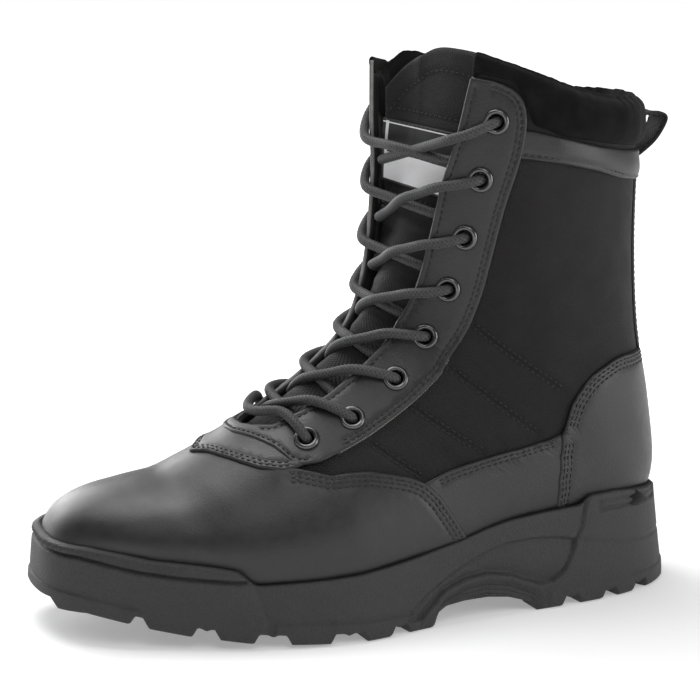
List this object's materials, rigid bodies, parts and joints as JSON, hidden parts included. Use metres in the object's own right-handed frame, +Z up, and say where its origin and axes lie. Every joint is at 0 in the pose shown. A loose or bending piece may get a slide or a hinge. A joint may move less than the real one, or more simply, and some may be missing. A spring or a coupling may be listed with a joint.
{
  "type": "lace-up boot",
  "caption": "Left black lace-up field boot with a tall nylon and leather shaft, padded suede collar, gusset tongue and a lugged rubber sole with a stepped side.",
  "frame": {"origin": "Bottom centre of the boot's bounding box, on the floor it stands on", "axes": "+Z up, toe to -Y and heel to +Y, +X to the outer side of the left foot"},
  "size_m": [0.1093, 0.3007, 0.2527],
  "materials": {
    "rubber": "matt, fine grained moulded rubber",
    "insole_fabric": "matt knit",
    "nylon": "coarse plain weave, matt",
    "leather": "smooth, semi-gloss",
    "suede": "very matt brushed nap",
    "label": "flat woven patch",
    "webbing": "ribbed webbing",
    "eyelet_metal": "gloss black",
    "lace": "round braid"
  },
  "bodies": {
    "root": {"outsole": "rubber", "insole": "insole_fabric", "upper": "nylon", "vamp": "leather", "instep_strap": "leather", "facing": "leather", "side_panel_outer": "leather", "side_panel_inner": "leather", "heel_counter": "leather", "backstay": "leather", "collar_band": "leather", "collar": "suede", "tongue": "nylon", "tongue_label": "label", "pull_loop": "webbing", "eyelet_outer_1": "eyelet_metal", "eyelet_outer_2": "eyelet_metal", "eyelet_outer_3": "eyelet_metal", "eyelet_outer_4": "eyelet_metal", "eyelet_outer_5": "eyelet_metal", "eyelet_outer_6": "eyelet_metal", "eyelet_outer_7": "eyelet_metal", "eyelet_outer_8": "eyelet_metal", "eyelet_inner_1": "eyelet_metal", "eyelet_inner_2": "eyelet_metal", "eyelet_inner_3": "eyelet_metal", "eyelet_inner_4": "eyelet_metal", "eyelet_inner_5": "eyelet_metal", "eyelet_inner_6": "eyelet_metal", "eyelet_inner_7": "eyelet_metal", "eyelet_inner_8": "eyelet_metal", "lace_cross_1": "lace", "lace_cross_2": "lace", "lace_cross_3": "lace", "lace_cross_4": "lace", "lace_cross_5": "lace", "lace_cross_6": "lace", "lace_cross_7": "lace", "lace_bar": "lace"}
  },
  "joints": []
}
